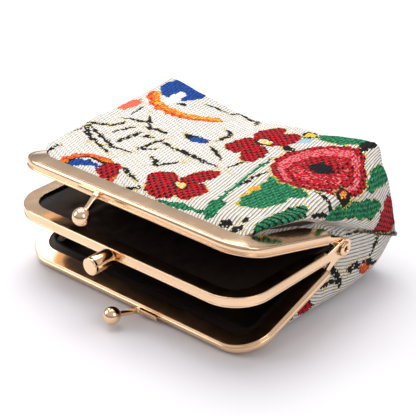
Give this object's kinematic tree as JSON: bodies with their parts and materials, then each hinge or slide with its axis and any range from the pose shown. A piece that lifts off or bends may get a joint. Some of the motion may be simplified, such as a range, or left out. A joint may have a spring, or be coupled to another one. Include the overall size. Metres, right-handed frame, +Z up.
{
  "type": "coin purse",
  "caption": "Small kiss-lock coin purse with hinged metal channel frames, ball clasps, a catch post, tapestry cloth and dark satin pockets, lying half open.",
  "frame": {"origin": "bottom centre of the purse as it lies on its back panel", "axes": "+X along the hinge line, +Z up from the table, -Y out of the mouth towards the clasp"},
  "size_m": [0.1127, 0.098, 0.0428],
  "materials": {
    "gold_frame_metal": "pale rose-gold plating, polished bead and satin face band",
    "gold_fittings": "polished pale rose-gold plating",
    "tapestry": "ribbed cream jacquard tapestry with woven flowers and leaves",
    "satin_lining": "very dark brown-black satin",
    "paper_cord": "twisted kraft paper"
  },
  "bodies": {
    "purse": {"middle_frame": "gold_frame_metal", "middle_clasp_post": "gold_fittings", "right_hinge_rivet": "gold_fittings", "left_hinge_rivet": "gold_fittings", "middle_paper_cord": "paper_cord", "front_panel_pouch": "tapestry", "front_lining_pouch": "satin_lining", "front_divider_lining": "satin_lining", "back_divider_lining": "satin_lining", "back_lining_pouch": "satin_lining", "back_panel_pouch": "tapestry"},
    "front_jaw": {"front_frame": "gold_frame_metal", "front_clasp_arm": "gold_fittings", "front_clasp_ball": "gold_fittings", "front_paper_cord": "paper_cord", "front_panel_mouth": "tapestry", "front_lining_mouth": "satin_lining"},
    "back_jaw": {"back_frame": "gold_frame_metal", "back_clasp_arm": "gold_fittings", "back_clasp_ball": "gold_fittings", "back_paper_cord": "paper_cord", "back_panel_mouth": "tapestry", "back_lining_mouth": "satin_lining"}
  },
  "joints": [
    {"name": "front_jaw_hinge", "type": "hinge", "parent": "purse", "child": "front_jaw", "pos_m": [0.00315, 0.01222, 0.023], "axis": [-1, 0, 0], "range_deg": [-15.8, 34.2]},
    {"name": "back_jaw_hinge", "type": "hinge", "parent": "purse", "child": "back_jaw", "pos_m": [0.00315, 0.01222, 0.023], "axis": [1, 0, 0], "range_deg": [-17.9, 32.1]}
  ]
}
